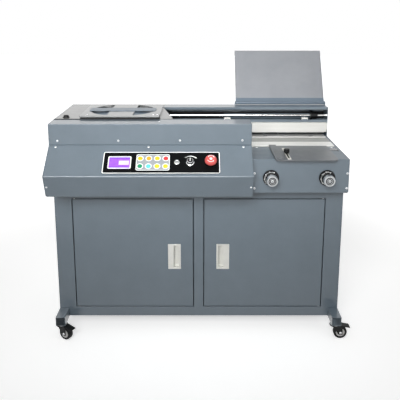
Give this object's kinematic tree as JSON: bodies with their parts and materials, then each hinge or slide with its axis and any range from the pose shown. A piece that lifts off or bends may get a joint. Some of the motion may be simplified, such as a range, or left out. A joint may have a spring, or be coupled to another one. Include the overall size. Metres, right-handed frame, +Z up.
{
  "type": "thermal binding machine",
  "caption": "Floor-standing hot-glue book binder: doored cabinet on casters, sloping control hood, sliding clamp under a rear beam, cover table with dial knobs and flip-up paper rest.",
  "frame": {"origin": "on the floor, below the middle of the machine's box", "axes": "+X to the operator's right, +Y to the back, +Z up"},
  "size_m": [1.09, 0.6184, 0.9935],
  "materials": {
    "grey_paint": "satin powder coat",
    "pale_grey_paint": "satin powder coat",
    "stainless": "brushed",
    "chrome": "polished",
    "cast_aluminium": "cast",
    "white_plastic": "moulded",
    "nylon": "machined",
    "black_plastic": "moulded",
    "black_film": "satin film",
    "tyre_rubber": "moulded",
    "screen": "lit display",
    "red_plastic": "moulded",
    "key_yellow": "moulded",
    "key_amber": "moulded",
    "key_red": "moulded",
    "key_green": "moulded",
    "key_cyan": "moulded"
  },
  "bodies": {
    "machine": {"foot_beams": "grey_paint", "caster_plates": "chrome", "cabinet_front": "grey_paint", "cabinet_wrap": "grey_paint", "cabinet_floor": "grey_paint", "head_base": "grey_paint", "hood_end_left": "grey_paint", "hood_end_right": "grey_paint", "console_cover": "grey_paint", "hood_cover": "grey_paint", "top_cover": "grey_paint", "back_cover": "grey_paint", "block_cover": "grey_paint", "deck": "grey_paint", "rear_beam": "grey_paint", "guide_rod": "chrome", "hinge_pins": "chrome", "panel_film": "black_film", "lcd_window": "screen", "feed_plate": "grey_paint", "glue_tank": "cast_aluminium", "milling_motor": "cast_aluminium", "control_box": "pale_grey_paint"},
    "left_door": {"door_left": "grey_paint", "handle_left": "white_plastic"},
    "right_door": {"door_right": "grey_paint", "handle_right": "white_plastic"},
    "lid": {"left_lid": "grey_paint", "vent_dome": "pale_grey_paint"},
    "rest_leaf": {"paper_rest": "grey_paint"},
    "carriage": {"clamp_carriage": "stainless", "slide_pads": "nylon"},
    "jaw": {"front_jaw": "stainless"},
    "front_nip": {"nip_plate_front": "stainless"},
    "rear_nip": {"nip_plate_rear": "stainless"},
    "power": {"power_button": "chrome"},
    "speed": {"speed_knob": "chrome"},
    "stop": {"stop_button": "red_plastic"},
    "left_dial": {"dial_left": "chrome"},
    "right_dial": {"dial_right": "chrome"},
    "gauge": {"side_gauge": "stainless"},
    "gauge_clamp": {"gauge_knob": "black_plastic"},
    "roller": {"glue_roller": "cast_aluminium"},
    "mill": {"milling_disc": "stainless"},
    "key_top_1_cap": {"key_top_1": "key_yellow"},
    "key_top_2_cap": {"key_top_2": "key_amber"},
    "key_top_3_cap": {"key_top_3": "key_yellow"},
    "key_top_4_cap": {"key_top_4": "key_red"},
    "key_bottom_1_cap": {"key_bottom_1": "key_green"},
    "key_bottom_2_cap": {"key_bottom_2": "key_cyan"},
    "key_bottom_3_cap": {"key_bottom_3": "key_yellow"},
    "key_bottom_4_cap": {"key_bottom_4": "key_yellow"},
    "fork_front_left": {"caster_fork_front_left": "black_plastic"},
    "wheel_front_left": {"caster_wheel_front_left": "tyre_rubber"},
    "fork_front_right": {"caster_fork_front_right": "black_plastic"},
    "wheel_front_right": {"caster_wheel_front_right": "tyre_rubber"},
    "fork_rear_left": {"caster_fork_rear_left": "black_plastic"},
    "wheel_rear_left": {"caster_wheel_rear_left": "tyre_rubber"},
    "fork_rear_right": {"caster_fork_rear_right": "black_plastic"},
    "wheel_rear_right": {"caster_wheel_rear_right": "tyre_rubber"}
  },
  "joints": [
    {"name": "left_door_hinge", "type": "hinge", "parent": "machine", "child": "left_door", "pos_m": [-0.44, -0.17025, 0.097], "axis": [0, 0, -1], "range_deg": [0, 110]},
    {"name": "right_door_hinge", "type": "hinge", "parent": "machine", "child": "right_door", "pos_m": [0.44, -0.17025, 0.097], "axis": [0, 0, 1], "range_deg": [0, 110]},
    {"name": "lid_hinge", "type": "hinge", "parent": "machine", "child": "lid", "pos_m": [-0.28, 0.12705, 0.7913], "axis": [-1, 0, 0], "range_deg": [0, 75]},
    {"name": "paper_rest_hinge", "type": "hinge", "parent": "machine", "child": "rest_leaf", "pos_m": [0.3275, 0.18375, 0.7935], "axis": [1, 0, 0], "range_deg": [0, 120]},
    {"name": "carriage_slide", "type": "slide", "parent": "machine", "child": "carriage", "axis": [-1, 0, 0], "range_m": [0, 0.59]},
    {"name": "jaw_slide", "type": "slide", "parent": "carriage", "child": "jaw", "axis": [0, -1, 0], "range_m": [0, 0.05]},
    {"name": "front_nip_slide", "type": "slide", "parent": "machine", "child": "front_nip", "axis": [0, 1, 0], "range_m": [0, 0.012]},
    {"name": "rear_nip_slide", "type": "slide", "parent": "machine", "child": "rear_nip", "axis": [0, -1, 0], "range_m": [0, 0.012]},
    {"name": "key_top_1_press", "type": "slide", "parent": "machine", "child": "key_top_1_cap", "axis": [0, 0.6266, -0.7794], "range_m": [0, 0.0015], "stiffness_N_per_m": 400},
    {"name": "key_top_2_press", "type": "slide", "parent": "machine", "child": "key_top_2_cap", "axis": [0, 0.6266, -0.7794], "range_m": [0, 0.0015], "stiffness_N_per_m": 400},
    {"name": "key_top_3_press", "type": "slide", "parent": "machine", "child": "key_top_3_cap", "axis": [0, 0.6266, -0.7794], "range_m": [0, 0.0015], "stiffness_N_per_m": 400},
    {"name": "key_top_4_press", "type": "slide", "parent": "machine", "child": "key_top_4_cap", "axis": [0, 0.6266, -0.7794], "range_m": [0, 0.0015], "stiffness_N_per_m": 400},
    {"name": "key_bottom_1_press", "type": "slide", "parent": "machine", "child": "key_bottom_1_cap", "axis": [0, 0.6266, -0.7794], "range_m": [0, 0.0015], "stiffness_N_per_m": 400},
    {"name": "key_bottom_2_press", "type": "slide", "parent": "machine", "child": "key_bottom_2_cap", "axis": [0, 0.6266, -0.7794], "range_m": [0, 0.0015], "stiffness_N_per_m": 400},
    {"name": "key_bottom_3_press", "type": "slide", "parent": "machine", "child": "key_bottom_3_cap", "axis": [0, 0.6266, -0.7794], "range_m": [0, 0.0015], "stiffness_N_per_m": 400},
    {"name": "key_bottom_4_press", "type": "slide", "parent": "machine", "child": "key_bottom_4_cap", "axis": [0, 0.6266, -0.7794], "range_m": [0, 0.0015], "stiffness_N_per_m": 400},
    {"name": "power_press", "type": "slide", "parent": "machine", "child": "power", "axis": [0, 0.6266, -0.7794], "range_m": [0, 0.0025], "stiffness_N_per_m": 400},
    {"name": "stop_press", "type": "slide", "parent": "machine", "child": "stop", "axis": [0, 0.6266, -0.7794], "range_m": [0, 0.005], "stiffness_N_per_m": 600},
    {"name": "speed_turn", "type": "hinge", "parent": "machine", "child": "speed", "pos_m": [-0.0275, -0.26638, 0.66546], "axis": [0, -0.6266, 0.7794], "range_deg": [-135, 135]},
    {"name": "left_dial_turn", "type": "hinge", "parent": "machine", "child": "left_dial", "pos_m": [0.245, -0.24025, 0.607], "axis": [0, -1, 0], "continuous": true},
    {"name": "right_dial_turn", "type": "hinge", "parent": "machine", "child": "right_dial", "pos_m": [0.435, -0.24025, 0.607], "axis": [0, -1, 0], "continuous": true},
    {"name": "gauge_slide", "type": "slide", "parent": "machine", "child": "gauge", "axis": [0, 1, 0], "range_m": [0, 0.045]},
    {"name": "gauge_clamp_turn", "type": "hinge", "parent": "machine", "child": "gauge_clamp", "pos_m": [0.304, -0.18225, 0.671], "axis": [0, 0, 1], "continuous": true},
    {"name": "roller_turn", "type": "hinge", "parent": "machine", "child": "roller", "pos_m": [-0.405, 0.01375, 0.643], "axis": [0, 1, 0], "continuous": true},
    {"name": "mill_turn", "type": "hinge", "parent": "machine", "child": "mill", "pos_m": [-0.23, 0.09575, 0.639], "axis": [0, 0, 1], "continuous": true},
    {"name": "swivel_front_left", "type": "hinge", "parent": "machine", "child": "fork_front_left", "pos_m": [-0.493, -0.22325, 0.056], "axis": [0, 0, 1], "continuous": true},
    {"name": "roll_front_left", "type": "hinge", "parent": "fork_front_left", "child": "wheel_front_left", "pos_m": [-0.47741, -0.23225, 0.024], "axis": [0.5, 0.866, 0], "continuous": true},
    {"name": "swivel_front_right", "type": "hinge", "parent": "machine", "child": "fork_front_right", "pos_m": [0.493, -0.22325, 0.056], "axis": [0, 0, 1], "continuous": true},
    {"name": "roll_front_right", "type": "hinge", "parent": "fork_front_right", "child": "wheel_front_right", "pos_m": [0.511, -0.22325, 0.024], "axis": [0, 1, 0], "continuous": true},
    {"name": "swivel_rear_left", "type": "hinge", "parent": "machine", "child": "fork_rear_left", "pos_m": [-0.493, 0.21575, 0.056], "axis": [0, 0, 1], "continuous": true},
    {"name": "roll_rear_left", "type": "hinge", "parent": "fork_rear_left", "child": "wheel_rear_left", "pos_m": [-0.511, 0.21575, 0.024], "axis": [0, -1, 0], "continuous": true},
    {"name": "swivel_rear_right", "type": "hinge", "parent": "machine", "child": "fork_rear_right", "pos_m": [0.493, 0.21575, 0.056], "axis": [0, 0, 1], "continuous": true},
    {"name": "roll_rear_right", "type": "hinge", "parent": "fork_rear_right", "child": "wheel_rear_right", "pos_m": [0.47921, 0.22732, 0.024], "axis": [-0.6428, -0.766, 0], "continuous": true}
  ],
  "couplings": [
    {"joint": "rear_nip_slide", "follows": "front_nip_slide", "ratio": 1}
  ]
}
